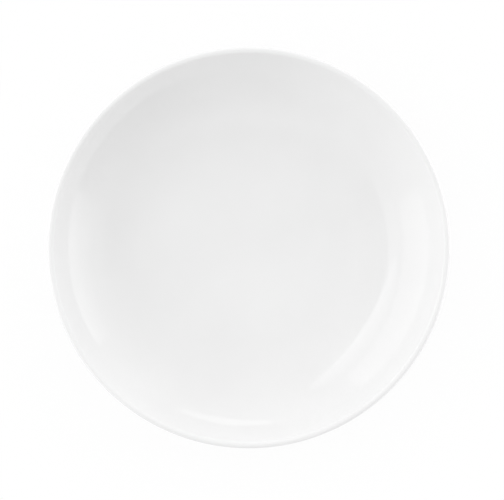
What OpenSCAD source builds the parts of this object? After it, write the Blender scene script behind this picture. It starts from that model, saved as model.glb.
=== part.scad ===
// Deep coupe plate in glazed porcelain: a dished body on a foot ring, under two coats of glaze.
// Its section is drawn in the plane of radius and height, and is turned about the Z axis.
// The origin is on the table, under the middle of the plate. All lengths are in millimetres.

/* [Plate] */
// Diameter over the lip
plate_d = 220; // [190:1:250]
// Height from the table to the top of the lip
plate_h = 40; // [36:0.5:46]
// Thickness of the lip, measured level through its two rounds
lip_t = 4.2; // [3.3:0.1:5.3]
// Radius of the lip's inner round, from its crest into the well; the outer round takes the rest
lip_in_r = 2.5; // [1.8:0.1:2.7]

/* [Well] */
// Radius of the curve that rises from the floor to the lip
wall_r = 70; // [60:1:80]
// Thickness of the wall at its foot, where that curve starts
wall_t = 4.6; // [3.8:0.1:6]
// Radius of the floor's shallow dish
floor_r = 900; // [600:10:1500]
// Thickness of the floor at its middle, where it is thinnest
floor_t = 4.6; // [3.8:0.1:6]

/* [Foot ring] */
// Diameter of the foot ring at the table, over its outer flank
foot_d = 120; // [105:1:140]
// Width of the foot ring at the table, before its corners are rounded
foot_w = 4.2; // [3.6:0.1:6]
// Height of the flat underside of the floor over the table
foot_h = 3; // [2:0.1:4]
// Lean of the foot ring's flanks from upright, in degrees
foot_draft = 12; // [4:1:20]
// Radius of the foot ring's lower corners, which are bare of glaze like its standing face
foot_corner_r = 1.1; // [0.6:0.1:1.3]
// Radius of the fillets between the foot ring and the plate
foot_fillet_r = 1.2; // [0.6:0.1:2]

/* [Glaze] */
// Thickness of the glaze
glaze_t = 0.3; // [0.15:0.05:0.5]

/* [Hidden] */

// The body shows only on the bare foot ring, a little warmer than the glaze.
porcelain_colour = "#efece4";
glaze_colour = "#f4f4f2";

// Furthest that a drawn chord may lie from its true arc, and points so near that they are one.
chord_gap = 0.01;
same_point = 0.001;

// Bearings are in degrees, from the direction of growing radius towards up.
up = 90;
down = -90;
half_turn = 180;
function unit(turn) = [cos(turn), sin(turn)];
function bearing(from, to) = atan2(to.y - from.y, to.x - from.x);

// Where two circles cross: the crossing on the right of the line from centre a to centre b.
function crossing(a, r_a, b, r_b) =
    let (
        span = norm(b - a),
        along = (r_a ^ 2 - r_b ^ 2 + span ^ 2) / (2 * span),
        across = sqrt(r_a ^ 2 - along ^ 2),
        u = (b - a) / span
    )
    a + along * u + across * [u.y, -u.x];

// The lip's two rounds, which meet level at its crest.
lip_out_r = lip_t - lip_in_r;
crest_r = plate_d / 2 - lip_out_r;
lip_in_c = [crest_r, plate_h - lip_in_r];
lip_out_c = [crest_r, plate_h - lip_out_r];

// The dished floor, whose centre lies far up the axis.
floor_c = [0, foot_h + floor_t + floor_r];

// The wall's inside arc runs smoothly out of the floor and into the lip.
wall_c = crossing(floor_c, floor_r - wall_r, lip_in_c, lip_in_r + wall_r);

// The outside arc is level with it, and runs smoothly into the lip's outer round.
outside_r = wall_r + wall_t;
outside_c = [
    crest_r - sqrt((outside_r - lip_out_r) ^ 2 - (wall_c.y - lip_out_c.y) ^ 2),
    wall_c.y
];

// The foot ring's flanks face a little down, one outwards and one inwards.
foot_out_r = foot_d / 2;
foot_in_r = foot_out_r - foot_w;
out_facing = -foot_draft;
in_facing = foot_draft - half_turn;

// The ring's lower corners, in the body under the glaze.
corner_inset = (glaze_t + foot_corner_r * (1 - sin(foot_draft))) / cos(foot_draft);
outer_corner_c = [foot_out_r - corner_inset, foot_corner_r];
inner_corner_c = [foot_in_r + corner_inset, foot_corner_r];

// The outer fillet runs from the ring's outer flank into the outside arc, where that arc ends.
flank_gap = unit(out_facing) * ([foot_out_r, 0] - outside_c) + foot_fillet_r;
outside_end = out_facing - acos(flank_gap / (outside_r + foot_fillet_r));
outer_fillet_c = outside_c + (outside_r + foot_fillet_r) * unit(outside_end);

// The inner fillet runs from the inner flank into the flat underside, and leaves some flank.
inner_fillet_r = min(foot_fillet_r, foot_h - foot_corner_r - glaze_t);
inner_fillet_h = foot_h - inner_fillet_r;
inner_fillet_c = [
    foot_in_r + (inner_fillet_r - inner_fillet_h * sin(in_facing)) / cos(in_facing),
    inner_fillet_h
];

// Bearings at which one arc hands over to the next.
floor_end = bearing(floor_c, wall_c);
wall_end = bearing(wall_c, lip_in_c);
lip_start = bearing(lip_in_c, wall_c);
lip_end = bearing(outside_c, lip_out_c);

// Points along an arc, both ends included, as many as chord_gap asks for.
function arc(centre, radius, from, to) =
    let (steps = max(1, ceil(abs(to - from) / (2 * acos(1 - chord_gap / radius)))))
    [for (i = [0:steps]) centre + radius * unit(from + (to - from) * i / steps)];

function reversed(points) = [for (i = [len(points) - 1:-1:0]) points[i]];

function without_repeats(points) =
    [for (i = [0:len(points) - 1])
        if (i == 0 || norm(points[i] - points[max(i - 1, 0)]) > same_point) points[i]];

// From the middle of the floor, over the lip and down to the bare part of the foot ring,
// at a given depth under the surface of the glaze.
function upper_face(depth) =
    concat(
        arc(floor_c, floor_r + depth, down, floor_end),
        arc(wall_c, wall_r + depth, floor_end, wall_end),
        arc(lip_in_c, lip_in_r - depth, lip_start, up),
        arc(lip_out_c, lip_out_r - depth, up, lip_end),
        arc(outside_c, outside_r - depth, lip_end, outside_end),
        arc(outer_fillet_c, foot_fillet_r + depth, outside_end + half_turn, out_facing + half_turn),
        [outer_corner_c + (foot_corner_r + glaze_t - depth) * unit(out_facing)]
    );

// Across the bare foot ring, which stands on the table.
function standing_face() =
    concat(
        arc(outer_corner_c, foot_corner_r, out_facing, down),
        arc(inner_corner_c, foot_corner_r, down, in_facing)
    );

// From the bare part of the foot ring up to the flat underside and in to the axis.
function base_face(depth) =
    concat(
        [inner_corner_c + (foot_corner_r + glaze_t - depth) * unit(in_facing)],
        arc(inner_fillet_c, inner_fillet_r + depth, in_facing + half_turn, up),
        [[0, foot_h + depth]]
    );

module turned(outline) {
    rotate_extrude($fn = 180) polygon(without_repeats(outline));
}

// The fired body: floor, wall, lip and foot ring in one piece.
module porcelain_body() {
    color(porcelain_colour)
        turned(concat(upper_face(glaze_t), standing_face(), base_face(glaze_t)));
}

// The coat over the inside, the lip and the outside.
module upper_glaze() {
    color(glaze_colour)
        turned(concat(upper_face(0), reversed(upper_face(glaze_t))));
}

// The coat under the floor, inside the foot ring.
module base_glaze() {
    color(glaze_colour)
        turned(concat(base_face(0), reversed(base_face(glaze_t))));
}

porcelain_body();
upper_glaze();
base_glaze();
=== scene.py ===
import math
import bpy
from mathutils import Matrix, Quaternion, Vector


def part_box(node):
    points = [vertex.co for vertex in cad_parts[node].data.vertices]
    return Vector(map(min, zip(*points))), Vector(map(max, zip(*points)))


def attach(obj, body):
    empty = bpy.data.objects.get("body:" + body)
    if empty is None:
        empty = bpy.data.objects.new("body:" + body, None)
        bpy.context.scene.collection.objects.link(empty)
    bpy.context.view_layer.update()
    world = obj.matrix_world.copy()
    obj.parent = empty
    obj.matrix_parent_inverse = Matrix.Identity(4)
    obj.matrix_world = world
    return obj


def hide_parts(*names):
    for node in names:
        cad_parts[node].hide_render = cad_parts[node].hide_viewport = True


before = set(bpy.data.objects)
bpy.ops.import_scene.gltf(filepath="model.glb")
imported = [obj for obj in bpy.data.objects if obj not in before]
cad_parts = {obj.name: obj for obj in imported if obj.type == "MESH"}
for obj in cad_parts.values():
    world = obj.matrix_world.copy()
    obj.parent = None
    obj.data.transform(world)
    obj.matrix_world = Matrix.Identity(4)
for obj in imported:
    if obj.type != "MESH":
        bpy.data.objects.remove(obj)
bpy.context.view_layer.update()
print("frame loaded:", ", ".join(sorted(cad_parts)))

mm = 0.001


def toLinear(hexColour):
    # sRGB hex to the linear values that Blender works in
    channels = [int(hexColour[i:i + 2], 16) / 255 for i in (1, 3, 5)]
    return [c / 12.92 if c <= 0.04045 else ((c + 0.055) / 1.055) ** 2.4 for c in channels] + [1.0]


def addNode(tree, kind, settings=None, links=None):
    # settings go to the node's own values or to its sockets, links come from other nodes' outputs
    node = tree.nodes.new(kind)
    for name, value in (settings or {}).items():
        if isinstance(name, str) and hasattr(node, name):
            setattr(node, name, value)
        else:
            node.inputs[name].default_value = value
    for name, source in (links or {}).items():
        tree.links.new(source, node.inputs[name])
    return node


def newMaterial(name):
    material = bpy.data.materials.new(name)
    material.use_nodes = True
    material.node_tree.nodes.clear()
    return material, material.node_tree


# section of the plate as radius and height, all in mm and degrees
plateSizes = {
    "lipThickness": 4.2,
    "lipInner": 2.5,          # round from the crest into the well, the outer round takes the rest
    "wallRadius": 70.0,       # inside curve from the floor to the lip
    "wallThickness": 4.6,
    "floorRadius": 900.0,     # the floor is a very shallow dish
    "floorThickness": 4.6,
    "footDiameter": 120.0,
    "footWidth": 4.2,
    "footHeight": 3.0,
    "footDraft": 12.0,
    "footCorner": 1.1,
    "footFillet": 1.2,
    "glaze": 0.3,
}
faceSteps = {"floor": 24, "wall": 72, "lipInner": 22, "lipOuter": 20, "outside": 56, "fillet": 10,
             "flank": 4, "bead": 8, "corner": 10}
hiddenSteps = {face: count // 2 for face, count in faceSteps.items()}  # where glaze and body touch


def spot(centre, radius, degrees):
    turn = math.radians(degrees)
    return centre[0] + radius * math.cos(turn), centre[1] + radius * math.sin(turn)


def bearing(start, end):
    return math.degrees(math.atan2(end[1] - start[1], end[0] - start[0]))


def arc(centre, radius, start, end, steps):
    return [spot(centre, radius, start + (end - start) * i / steps) for i in range(steps + 1)]


def blendPoints(start, end, steps):
    return [(start[0] + (end[0] - start[0]) * i / steps, start[1] + (end[1] - start[1]) * i / steps)
            for i in range(1, steps + 1)]


def crossing(a, radiusA, b, radiusB):
    # of the two points where circles meet, the one on the right of the way from a to b
    span = math.dist(a, b)
    along = (radiusA ** 2 - radiusB ** 2 + span ** 2) / (2 * span)
    across = math.sqrt(radiusA ** 2 - along ** 2)
    ux, uy = (b[0] - a[0]) / span, (b[1] - a[1]) / span
    return a[0] + along * ux + across * uy, a[1] + along * uy - across * ux


def solveSection(sizes):
    # centres and bearings of the arcs, worked out the way the solids are
    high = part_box("upper_glaze")[1]
    s = dict(sizes, rimRadius=high.x / mm, rimHeight=high.z / mm)
    s["lipOuter"] = s["lipThickness"] - s["lipInner"]
    crest = s["rimRadius"] - s["lipOuter"]
    s["lipInnerAt"] = crest, s["rimHeight"] - s["lipInner"]
    s["lipOuterAt"] = crest, s["rimHeight"] - s["lipOuter"]
    s["floorAt"] = 0.0, s["footHeight"] + s["floorThickness"] + s["floorRadius"]
    s["wallAt"] = crossing(s["floorAt"], s["floorRadius"] - s["wallRadius"],
                           s["lipInnerAt"], s["lipInner"] + s["wallRadius"])
    s["outsideRadius"] = s["wallRadius"] + s["wallThickness"]
    drop = s["wallAt"][1] - s["lipOuterAt"][1]
    reach = math.sqrt((s["outsideRadius"] - s["lipOuter"]) ** 2 - drop ** 2)
    s["outsideAt"] = crest - reach, s["wallAt"][1]

    draft = math.radians(s["footDraft"])
    s["outFacing"] = -s["footDraft"]
    s["inFacing"] = s["footDraft"] - 180
    footOut = s["footDiameter"] / 2
    footIn = footOut - s["footWidth"]
    inset = (s["glaze"] + s["footCorner"] * (1 - math.sin(draft))) / math.cos(draft)
    s["outerCornerAt"] = footOut - inset, s["footCorner"]
    s["innerCornerAt"] = footIn + inset, s["footCorner"]

    gap = math.cos(draft) * (footOut - s["outsideAt"][0]) + math.sin(draft) * s["outsideAt"][1]
    grown = s["outsideRadius"] + s["footFillet"]
    s["outsideEnd"] = s["outFacing"] - math.degrees(math.acos((gap + s["footFillet"]) / grown))
    s["outerFilletAt"] = spot(s["outsideAt"], grown, s["outsideEnd"])
    filletHeight = s["footHeight"] - s["footFillet"]
    run = (s["footFillet"] + filletHeight * math.sin(draft)) / math.cos(draft)
    s["innerFilletAt"] = footIn - run, filletHeight
    return s


section = solveSection(plateSizes)
print("section: rim radius %.2f mm, height %.2f mm" % (section["rimRadius"], section["rimHeight"]))


def upperFace(depth):
    # from the middle of the floor, over the lip, down the outside to the flank of the foot
    s = section
    n = hiddenSteps if depth else faceSteps
    floorEnd = bearing(s["floorAt"], s["wallAt"])
    wallEnd = bearing(s["wallAt"], s["lipInnerAt"])
    lipEnd = bearing(s["outsideAt"], s["lipOuterAt"])
    points = arc(s["floorAt"], s["floorRadius"] + depth, -90, floorEnd, n["floor"])
    points += arc(s["wallAt"], s["wallRadius"] + depth, floorEnd, wallEnd, n["wall"])[1:]
    points += arc(s["lipInnerAt"], s["lipInner"] - depth, wallEnd + 180, 90, n["lipInner"])[1:]
    points += arc(s["lipOuterAt"], s["lipOuter"] - depth, 90, lipEnd, n["lipOuter"])[1:]
    points += arc(s["outsideAt"], s["outsideRadius"] - depth, lipEnd, s["outsideEnd"], n["outside"])[1:]
    points += arc(s["outerFilletAt"], s["footFillet"] + depth, s["outsideEnd"] + 180,
                  s["outFacing"] + 180, n["fillet"])[1:]
    end = spot(s["outerCornerAt"], s["footCorner"] + s["glaze"] - depth, s["outFacing"])
    return points, blendPoints(points[-1], end, n["flank"])


def baseFace(depth):
    # from the middle of the underside out to the flank inside the foot
    s = section
    n = hiddenSteps if depth else faceSteps
    middle = (0.0, s["footHeight"] + depth)
    fillet = arc(s["innerFilletAt"], s["footFillet"] + depth, 90, s["inFacing"] + 180, n["fillet"])
    points = [middle] + blendPoints(middle, fillet[0], n["floor"]) + fillet[1:]
    end = spot(s["innerCornerAt"], s["footCorner"] + s["glaze"] - depth, s["inFacing"])
    return points, blendPoints(points[-1], end, n["flank"])


def meltedEdge(outer, inner, facing, turn):
    # where the coat stops it has drawn itself up into a half round
    middle = (outer[0] + inner[0]) / 2, (outer[1] + inner[1]) / 2
    return arc(middle, math.dist(outer, inner) / 2, facing, facing + turn, faceSteps["bead"])[1:-1]


firing = {
    "oval": 0.36,             # mm that the rim pulls in from front to back
    "settle": 0.10,           # mm that the rim drops on two sides
    "settleFrom": 64.0,       # mm from the middle, outside the foot, which stands flat
    "settleTurn": 1.2,        # radians, turns the line through the two sides that drop
    "settleSkew": 0.15,       # radians, those two sides aren't quite opposite
    "wipeWaver": 0.16,        # mm that the wiped line of the glaze wanders up the foot
    "wipeWaves": ((5, 1.0, 0.4), (11, 0.7, 2.1), (23, 0.4, 4.0)),  # waves round the foot, size, start
    "segments": 288,
}
onAxis = 1e-6                 # mm, a ring smaller than this is one point


def wipeLine(turn):
    # a sponge line is nearly true, with a few slow wanders
    wander = sum(size * math.sin(count * turn + start) for count, size, start in firing["wipeWaves"])
    most = sum(size for count, size, start in firing["wipeWaves"])
    return firing["wipeWaver"] * (1 + wander / most) / 2


def fired(radius, height, turn):
    # kiln warp, all inwards and down so that it stays inside the solids
    rim = section["rimRadius"]
    pulled = radius - firing["oval"] * (radius / rim) ** 2 * math.sin(turn) ** 2
    free = max(0.0, (radius - firing["settleFrom"]) / (rim - firing["settleFrom"]))
    sides = math.cos(turn + firing["settleTurn"] + firing["settleSkew"] * math.sin(turn)) ** 2
    dropped = height - firing["settle"] * free ** 2 * sides
    return pulled * math.cos(turn) * mm, pulled * math.sin(turn) * mm, dropped * mm


def turnPiece(name, outline):
    # outline: (radius, height, slide up the foot, facing of the flank), from the axis to the axis
    count = firing["segments"]
    verts, faces, rings = [], [], []
    for radius, height, slide, facing in outline:
        if radius < onAxis:
            rings.append([len(verts)] * count)
            verts.append(fired(0, height, 0))
            continue
        rings.append(list(range(len(verts), len(verts) + count)))
        # known fault: out has the wrong sign, so a high edge sinks up to 0.07 mm into the body
        lean = math.radians(facing)
        out = math.copysign(math.sin(lean), math.cos(lean))
        for i in range(count):
            turn = 2 * math.pi * i / count
            along = slide * wipeLine(turn)
            verts.append(fired(radius - along * out, height + along * abs(math.cos(lean)), turn))
    for near, far in zip(rings, rings[1:]):
        for i in range(count):
            j = (i + 1) % count
            corners = [near[i], far[i], far[j], near[j]]
            faces.append([v for k, v in enumerate(corners) if v not in corners[:k]])
    mesh = bpy.data.meshes.new(name)
    mesh.from_pydata(verts, [], faces)
    mesh.update()
    mesh.polygons.foreach_set("use_smooth", [True] * len(mesh.polygons))
    piece = bpy.data.objects.new(name, mesh)
    bpy.context.scene.collection.objects.link(piece)
    print("turned", name, len(verts), "points")
    return piece


def still(points):
    return [(r, h, 0.0, 0.0) for r, h in points]


def sliding(points, facing):
    # the slide grows along the flank, so that only the glaze's edge wanders
    return [(r, h, (i + 1) / len(points), facing) for i, (r, h) in enumerate(points)]


def edged(points, facing):
    return [(r, h, 1.0, facing) for r, h in points]


def makeUpperGlaze():
    facing = section["outFacing"]
    top, topFlank = upperFace(0.0)
    under, underFlank = upperFace(section["glaze"])
    outline = still(top) + sliding(topFlank, facing)
    outline += edged(meltedEdge(topFlank[-1], underFlank[-1], facing, -180), facing)
    outline += list(reversed(sliding(underFlank, facing))) + list(reversed(still(under)))
    return turnPiece("upperGlaze", outline)


def makeBaseGlaze():
    facing = section["inFacing"]
    low, lowFlank = baseFace(0.0)
    against, againstFlank = baseFace(section["glaze"])
    outline = still(against) + sliding(againstFlank, facing)
    outline += list(reversed(edged(meltedEdge(lowFlank[-1], againstFlank[-1], facing, 180), facing)))
    outline += list(reversed(sliding(lowFlank, facing))) + list(reversed(still(low)))
    return turnPiece("baseGlaze", outline)


def makePorcelainBody():
    s, n = section, faceSteps
    top, topFlank = upperFace(s["glaze"])
    low, lowFlank = baseFace(s["glaze"])
    stand = arc(s["outerCornerAt"], s["footCorner"], s["outFacing"], -90, n["corner"])[1:]
    stand += arc(s["innerCornerAt"], s["footCorner"], -90, s["inFacing"], n["corner"])[:-1]
    return turnPiece("porcelainBody", still(top + topFlank + stand + list(reversed(low + lowFlank))))


upperGlaze = makeUpperGlaze()
baseGlaze = makeBaseGlaze()
porcelainBody = makePorcelainBody()

glazeLook = {
    "white": "#EEEEEE",
    "whiteDeep": "#ECECEC",   # where the coat flowed a little thicker
    "cloud": 46.0,            # mm, width of those patches
    "cloudRange": (0.35, 0.65),  # part of the noise over which the tone changes
    "flow": 17.0,             # mm, long waves left as the glaze ran level
    "flowHeight": 0.0016,     # mm
    "peel": 2.6,              # mm, orange peel of a sprayed coat
    "peelHeight": 0.00012,    # mm
    "roughness": (0.045, 0.075),
    "ior": 1.5,
}


def makeGlaze():
    # feldspar glaze on hard porcelain, sprayed and fired at white heat: the eye gets a clean neutral
    # white under a wet mirror, with reflections that waver slightly where the coat ran level
    look = glazeLook
    material, tree = newMaterial("glazedPorcelain")
    place = addNode(tree, "ShaderNodeTexCoord").outputs["Object"]
    cloud = addNode(tree, "ShaderNodeTexNoise",
                    {"Scale": 1 / (look["cloud"] * mm), "Detail": 3.0}, {"Vector": place})
    flow = addNode(tree, "ShaderNodeTexNoise",
                   {"Scale": 1 / (look["flow"] * mm), "Detail": 1.0}, {"Vector": place})
    peel = addNode(tree, "ShaderNodeTexNoise",
                   {"Scale": 1 / (look["peel"] * mm), "Detail": 1.5}, {"Vector": place})
    tone = addNode(tree, "ShaderNodeValToRGB", links={"Fac": cloud.outputs["Fac"]})
    deep, thin = tone.color_ramp.elements
    deep.position, thin.position = look["cloudRange"]
    deep.color = toLinear(look["whiteDeep"])
    thin.color = toLinear(look["white"])
    gloss = addNode(tree, "ShaderNodeMapRange",
                    {"To Min": look["roughness"][0], "To Max": look["roughness"][1]},
                    {"Value": cloud.outputs["Fac"]})
    waves = addNode(tree, "ShaderNodeBump", {"Strength": 1.0, "Distance": look["flowHeight"] * mm},
                    {"Height": flow.outputs["Fac"]})
    skin = addNode(tree, "ShaderNodeBump", {"Strength": 1.0, "Distance": look["peelHeight"] * mm},
                   {"Height": peel.outputs["Fac"], "Normal": waves.outputs["Normal"]})
    shader = addNode(tree, "ShaderNodeBsdfPrincipled", {"IOR": look["ior"]},
                     {"Base Color": tone.outputs["Color"], "Roughness": gloss.outputs["Result"],
                      "Normal": skin.outputs["Normal"]})
    addNode(tree, "ShaderNodeOutputMaterial", links={"Surface": shader.outputs["BSDF"]})
    return material


bareLook = {
    "pale": "#EAE6DC",
    "dull": "#D9D4C8",
    "bloom": 14.0,            # mm, patches that took up a little grey from standing
    "bloomRange": (0.36, 0.62),  # part of the noise over which the tone changes
    "grit": 0.5,              # mm, the fired grain is finer and is drawn coarser so that it shows
    "gritHeight": 0.012,      # mm
    "rings": 0.9,             # mm between the marks of the grinding wheel, drawn coarser too
    "ringHeight": 0.006,      # mm
    "ringWaver": 0.6,         # how far the rings stray from true, in the wave texture's own measure
    "roughness": (0.62, 0.82),
    "ior": 1.5,
}
waveSpacing = 0.314           # a wave texture of scale 1 repeats at this distance


def makeBarePorcelain():
    # fired porcelain with no glaze, wiped and then ground on a wheel: dull, a little warm, with
    # fine rings round the foot and a grey bloom where it has stood
    look = bareLook
    material, tree = newMaterial("groundPorcelain")
    place = addNode(tree, "ShaderNodeTexCoord").outputs["Object"]
    grit = addNode(tree, "ShaderNodeTexNoise",
                   {"Scale": 1 / (look["grit"] * mm), "Detail": 4.0}, {"Vector": place})
    bloom = addNode(tree, "ShaderNodeTexNoise",
                    {"Scale": 1 / (look["bloom"] * mm), "Detail": 3.0}, {"Vector": place})
    rings = addNode(tree, "ShaderNodeTexWave",
                    {"wave_type": "RINGS", "rings_direction": "Z", "Distortion": look["ringWaver"],
                     "Detail": 2.0, "Scale": waveSpacing / (look["rings"] * mm)}, {"Vector": place})
    tone = addNode(tree, "ShaderNodeValToRGB", links={"Fac": bloom.outputs["Fac"]})
    grey, clean = tone.color_ramp.elements
    grey.position, clean.position = look["bloomRange"]
    grey.color = toLinear(look["dull"])
    clean.color = toLinear(look["pale"])
    dull = addNode(tree, "ShaderNodeMapRange",
                   {"To Min": look["roughness"][0], "To Max": look["roughness"][1]},
                   {"Value": grit.outputs["Fac"]})
    marks = addNode(tree, "ShaderNodeBump", {"Strength": 1.0, "Distance": look["ringHeight"] * mm},
                    {"Height": rings.outputs["Fac"]})
    grain = addNode(tree, "ShaderNodeBump", {"Strength": 1.0, "Distance": look["gritHeight"] * mm},
                    {"Height": grit.outputs["Fac"], "Normal": marks.outputs["Normal"]})
    shader = addNode(tree, "ShaderNodeBsdfPrincipled", {"IOR": look["ior"]},
                     {"Base Color": tone.outputs["Color"], "Roughness": dull.outputs["Result"],
                      "Normal": grain.outputs["Normal"]})
    addNode(tree, "ShaderNodeOutputMaterial", links={"Surface": shader.outputs["BSDF"]})
    return material


glazeMaterial = makeGlaze()
upperGlaze.data.materials.append(glazeMaterial)
baseGlaze.data.materials.append(glazeMaterial)
porcelainBody.data.materials.append(makeBarePorcelain())
print("materials on")

for piece, node, slot in ((upperGlaze, "upper_glaze", "white_glaze"),
                          (baseGlaze, "base_glaze", "white_glaze"),
                          (porcelainBody, "porcelain_body", "bare_porcelain")):
    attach(piece, "root")
    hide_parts(node)
print("pieces ride on root")

floorLook = {
    "colour": "#F8F8F8",
    "radius": 4.0,            # m
    "open": 0.0588,           # m, radius of the open middle, which lets light to the plate's underside
    "sides": 96,
    "lift": -0.0001,          # m, a hair under the foot so that the two faces don't meet
    "white": (0.5, 0.92, 1.0),  # white to the lens under, beside and off the plate, the rest is lit paint
    "shade": (0.062, 0.106),  # m from the middle, where the first share turns into the second
    "fade": (0.11, 0.17),     # m from the middle, where the second turns into the third
}


def seenDirectly(tree):
    # 1 for rays from the lens, from mirrors and through glass
    path = addNode(tree, "ShaderNodeLightPath")
    either = addNode(tree, "ShaderNodeMath", {"operation": "MAXIMUM"},
                     {0: path.outputs["Is Camera Ray"], 1: path.outputs["Is Glossy Ray"]})
    return addNode(tree, "ShaderNodeMath", {"operation": "MAXIMUM"},
                   {0: either.outputs[0], 1: path.outputs["Is Transmission Ray"]}).outputs[0]


def makeFloor():
    # board painted with matt emulsion, rolled on: an even pale ground that mirrors nothing, and that
    # keeps the plate's soft shadow though the lens sees it as white
    look = floorLook
    mesh = bpy.data.meshes.new("floor")
    count = look["sides"]
    turns = [2 * math.pi * i / count for i in range(count)]
    rings = [(far * math.cos(turn), far * math.sin(turn), 0)
             for far in (look["open"], look["radius"]) for turn in turns]
    faces = [(i, i + count, (i + 1) % count + count, (i + 1) % count) for i in range(count)]
    mesh.from_pydata(rings, [], faces)
    floor = bpy.data.objects.new("floor", mesh)
    floor.location.z = look["lift"]
    bpy.context.scene.collection.objects.link(floor)
    material, tree = newMaterial("mattEmulsion")
    material.cycles.emission_sampling = "NONE"
    place = addNode(tree, "ShaderNodeTexCoord").outputs["Object"]
    away = addNode(tree, "ShaderNodeVectorMath", {"operation": "LENGTH"}, {0: place})
    under, beside, clean = look["white"]
    shade = addNode(tree, "ShaderNodeMapRange",
                    {"From Min": look["shade"][0], "From Max": look["shade"][1],
                     "To Min": under, "To Max": beside}, {"Value": away.outputs["Value"]})
    fade = addNode(tree, "ShaderNodeMapRange",
                   {"From Min": look["fade"][0], "From Max": look["fade"][1],
                    "To Min": 0.0, "To Max": clean - beside}, {"Value": away.outputs["Value"]})
    share = addNode(tree, "ShaderNodeMath", {"operation": "ADD"},
                    {0: shade.outputs["Result"], 1: fade.outputs["Result"]})
    amount = addNode(tree, "ShaderNodeMath", {"operation": "MULTIPLY"},
                     {0: share.outputs[0], 1: seenDirectly(tree)})
    paint = addNode(tree, "ShaderNodeBsdfDiffuse", {"Color": toLinear(look["colour"])})
    white = addNode(tree, "ShaderNodeEmission", {"Strength": 1.0})
    top = addNode(tree, "ShaderNodeMixShader",
                  links={0: amount.outputs[0], 1: paint.outputs[0], 2: white.outputs[0]})
    # seen from under, the floor isn't there
    side = addNode(tree, "ShaderNodeNewGeometry").outputs["Backfacing"]
    clear = addNode(tree, "ShaderNodeBsdfTransparent")
    both = addNode(tree, "ShaderNodeMixShader", links={0: side, 1: top.outputs[0], 2: clear.outputs[0]})
    addNode(tree, "ShaderNodeOutputMaterial", links={"Surface": both.outputs[0]})
    mesh.materials.append(material)


makeFloor()
print("floor laid")

# bounced room light: a plain level, and three soft swells low down on the sides, in degrees
roomLight = {
    "level": 0.519,
    "swells": {
        "northEast": {"azimuth": 42, "elevation": 10, "gain": 1.15},
        "west": {"azimuth": 175, "elevation": 10, "gain": 1.03},
        "south": {"azimuth": 272, "elevation": 10, "gain": 0.24},
    },
    "focus": 2.0,             # power of the cosine with which a swell falls off
}
wallHeight = 0.025            # m, about where the wall mirrors the panels, so elevations start there

# each panel by the azimuths and elevations that it spans, as the plate sees it, in degrees, and by its
# radiance at the lower and the upper edge; a soft one has the first at all edges, the second mid-panel
softboxes = {
    "window": {"azimuths": (127, 197), "facing": 164, "elevations": (2, 32), "distance": 0.75,
               "roll": 6, "shape": "RECTANGLE", "radiance": (0.54, 0.54)},
    "strip": {"azimuths": (112, 174), "facing": 146, "elevations": (33, 46.4), "distance": 0.80,
              "roll": 11, "shape": "ELLIPSE", "radiance": (0.2, 1.45)},
    "stripEnd": {"azimuths": (167, 228), "facing": 190, "elevations": (36, 47.6), "distance": 0.80,
                 "roll": 0, "shape": "RECTANGLE", "radiance": (0.0, 0.25)},
    "side": {"azimuths": (-17, 34), "facing": 6, "elevations": (-1.5, 30), "distance": 0.80,
             "roll": 0, "shape": "RECTANGLE", "radiance": (1.25, 0.0)},
    "back": {"azimuths": (67, 98), "facing": 82, "elevations": (3.5, 11.2), "distance": 0.90,
             "roll": 0, "shape": "ELLIPSE", "radiance": (0.95, 0.95)},
    "front": {"azimuths": (220, 320), "facing": 270, "elevations": (18, 68), "distance": 0.80,
              "roll": 0, "shape": "RECTANGLE", "radiance": (0.0, 0.7), "soft": True},
    "bounce": {"azimuths": (-62, 62), "facing": 0, "elevations": (-3.1, 1.3), "distance": 0.40,
               "roll": 0, "shape": "RECTANGLE", "radiance": (1.2, 1.2)},
}


def heading(azimuth, elevation):
    turn, rise = math.radians(azimuth), math.radians(elevation)
    return Vector((math.cos(rise) * math.cos(turn), math.cos(rise) * math.sin(turn), math.sin(rise)))


def makeRoomLight():
    world = bpy.data.worlds.new("studio")
    world.use_nodes = True
    tree = world.node_tree
    tree.nodes.clear()
    look = addNode(tree, "ShaderNodeTexCoord").outputs["Generated"]
    level = roomLight["level"]
    total = None
    for swell in roomLight["swells"].values():
        facing = addNode(tree, "ShaderNodeVectorMath",
                         {"operation": "DOT_PRODUCT", 1: heading(swell["azimuth"], swell["elevation"])},
                         {0: look})
        near = addNode(tree, "ShaderNodeMath", {"operation": "MAXIMUM", 1: 0.0},
                       {0: facing.outputs["Value"]})
        soft = addNode(tree, "ShaderNodeMath", {"operation": "POWER", 1: roomLight["focus"]},
                       {0: near.outputs[0]})
        added = addNode(tree, "ShaderNodeMath",
                        {"operation": "MULTIPLY_ADD", 1: swell["gain"], 2: level}, {0: soft.outputs[0]})
        if total:
            tree.links.new(total, added.inputs[2])
        total = added.outputs[0]
    light = addNode(tree, "ShaderNodeBackground", {"Color": (1, 1, 1, 1)}, {"Strength": total})
    white = addNode(tree, "ShaderNodeBackground", {"Color": (1, 1, 1, 1), "Strength": 1.0})
    both = addNode(tree, "ShaderNodeMixShader",
                   links={0: seenDirectly(tree), 1: light.outputs[0], 2: white.outputs[0]})
    addNode(tree, "ShaderNodeOutputWorld", links={"Surface": both.outputs[0]})
    bpy.context.scene.world = world


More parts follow.
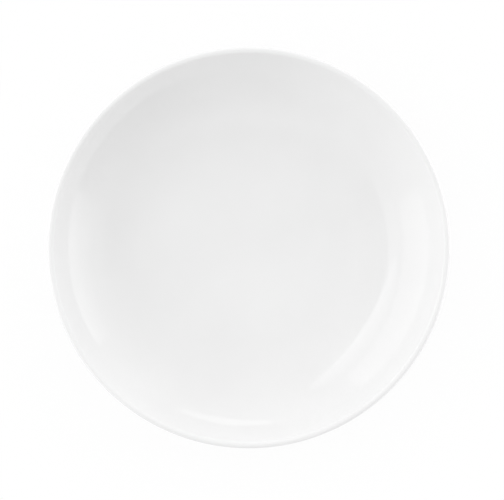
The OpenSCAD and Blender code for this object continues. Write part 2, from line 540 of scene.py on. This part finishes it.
def makeSoftbox(name, box):
    # a flat upright panel, square on to its facing, with its edges where the angles put them
    far = box["distance"]
    start, end = [far * math.tan(math.radians(angle - box["facing"])) for angle in box["azimuths"]]
    low, high = [far * math.tan(math.radians(angle)) for angle in box["elevations"]]
    lamp = bpy.data.lights.new(name, "AREA")
    lamp.shape = box["shape"]
    lamp.size = end - start
    lamp.size_y = high - low
    area = lamp.size * lamp.size_y * (math.pi / 4 if box["shape"] == "ELLIPSE" else 1)
    lamp.energy = math.pi * area  # W, gives a radiance of 1 where the emission is 1
    lamp.use_nodes = True
    tree = lamp.node_tree
    tree.nodes.clear()
    across = addNode(tree, "ShaderNodeNewGeometry").outputs["Parametric"]
    place = addNode(tree, "ShaderNodeSeparateXYZ", links={0: across})
    rise, most = place.outputs["Y"], 1.0
    if box.get("soft"):
        # folded in the middle both ways, so that it fades to all four edges
        half = 0.5
        folds = [addNode(tree, "ShaderNodeMath", {"operation": "PINGPONG", 1: half},
                         {0: place.outputs[axis]}) for axis in ("X", "Y")]
        rise = addNode(tree, "ShaderNodeMath", {"operation": "MULTIPLY"},
                       {0: folds[0].outputs[0], 1: folds[1].outputs[0]}).outputs[0]
        most = half * half
    glow = addNode(tree, "ShaderNodeMapRange",
                   {"From Max": most, "To Min": box["radiance"][0], "To Max": box["radiance"][1]},
                   {"Value": rise})
    shine = addNode(tree, "ShaderNodeEmission", links={"Strength": glow.outputs["Result"]})
    addNode(tree, "ShaderNodeOutputLight", links={"Surface": shine.outputs[0]})
    out = heading(box["facing"], 0)
    along = heading(box["facing"] + 90, 0)
    panel = bpy.data.objects.new(name, lamp)
    panel.location = out * far + along * (start + end) / 2
    panel.location.z = (high + low) / 2 + wallHeight
    aim = (-out).to_track_quat("-Z", "Y")
    panel.rotation_euler = (Quaternion(out, math.radians(box["roll"])) @ aim).to_euler()
    panel.visible_camera = False
    bpy.context.scene.collection.objects.link(panel)


# grey gels hung behind the panels, seen by the glaze alone: painted shade that stands for the darker
# parts of the studio, whose mirror image draws the lip's line on the far wall and the inner edge of the
# strip
# fades: share of the span that fades at either end, dark: elevation and share of white held back there as
# painted shade
gels = {
    "frontRightGel": {"azimuths": (-80, -5), "fades": (0.36, 0.19), "dark": ((2, 0.85), (50, 0.0))},
    "rightGel": {"azimuths": (-45, 27), "fades": (0.4, 0.45), "dark": ((28, 0.0), (46, 0.6), (72, 0.0))},
    "leftGel": {"azimuths": (128, 220), "fades": (0.35, 0.3), "dark": ((46.9, 0.65), (73, 0.0))},
}
gelStand = {"distance": 1.1, "columns": 40}  # m, and steps along the curve


def makeGelFilm():
    # grey film that paints shade into the glaze's reflections: no gloss or grain of its own, it only
    # holds light back
    material, tree = newMaterial("reflectedShadeFilm")
    tone = addNode(tree, "ShaderNodeAttribute", {"attribute_name": "tone"})
    film = addNode(tree, "ShaderNodeBsdfTransparent", links={"Color": tone.outputs["Fac"]})
    addNode(tree, "ShaderNodeOutputMaterial", links={"Surface": film.outputs[0]})
    return material


def makeGel(name, look, film):
    # curved round the plate, so that its edges keep their elevation
    far, columns = gelStand["distance"], gelStand["columns"]
    start, end = look["azimuths"]
    startFade, endFade = look["fades"]
    rows = len(look["dark"])
    verts, tones, faces = [], [], []
    for i in range(columns + 1):
        run = i / columns
        out = heading(start + (end - start) * run, 0) * far
        strength = min(1.0, run / startFade) * min(1.0, (1 - run) / endFade)
        # the tone is the white let through, and what it holds back is painted shade in the glaze's
        # reflections
        for elevation, dark in look["dark"]:
            verts.append(out + Vector((0, 0, far * math.tan(math.radians(elevation)) + wallHeight)))
            tones.append(1 - dark * strength)
    for i in range(columns):
        for j in range(rows - 1):
            corner = i * rows + j
            faces.append((corner, corner + rows, corner + rows + 1, corner + 1))
    mesh = bpy.data.meshes.new(name)
    mesh.from_pydata(verts, [], faces)
    mesh.attributes.new("tone", "FLOAT", "POINT").data.foreach_set("value", tones)
    mesh.materials.append(film)
    gel = bpy.data.objects.new(name, mesh)
    bpy.context.scene.collection.objects.link(gel)
    gel.visible_camera = False
    gel.visible_diffuse = False
    gel.visible_transmission = False
    gel.visible_volume_scatter = False
    gel.visible_shadow = False


makeRoomLight()
for name, box in softboxes.items():
    makeSoftbox(name, box)
print("lights on:", ", ".join(softboxes))

gelFilm = makeGelFilm()
for name, look in gels.items():
    makeGel(name, look, gelFilm)
print("gels hung")

photoView = {
    "tilt": 1.5,              # degrees off straight down, from the front
    "distance": 1.3,          # m
    "aim": (1.78, -1.42, 30),  # mm
    "lens": 169.07,           # mm
    "sensor": 36,             # mm
    "reach": 50,              # m, past the edge of the floor
}


def makeCamera():
    tilt = math.radians(photoView["tilt"])
    lens = bpy.data.cameras.new("photoView")
    lens.lens = photoView["lens"]
    lens.sensor_width = photoView["sensor"]
    lens.clip_end = photoView["reach"]
    camera = bpy.data.objects.new("photoView", lens)
    away = photoView["distance"] * Vector((0, -math.sin(tilt), math.cos(tilt)))
    camera.location = Vector(photoView["aim"]) * mm + away
    camera.rotation_euler = (tilt, 0, 0)
    bpy.context.scene.collection.objects.link(camera)
    bpy.context.scene.camera = camera


makeCamera()
print("camera at the photo's angle")
bpy.context.scene.view_settings.view_transform = "Standard"
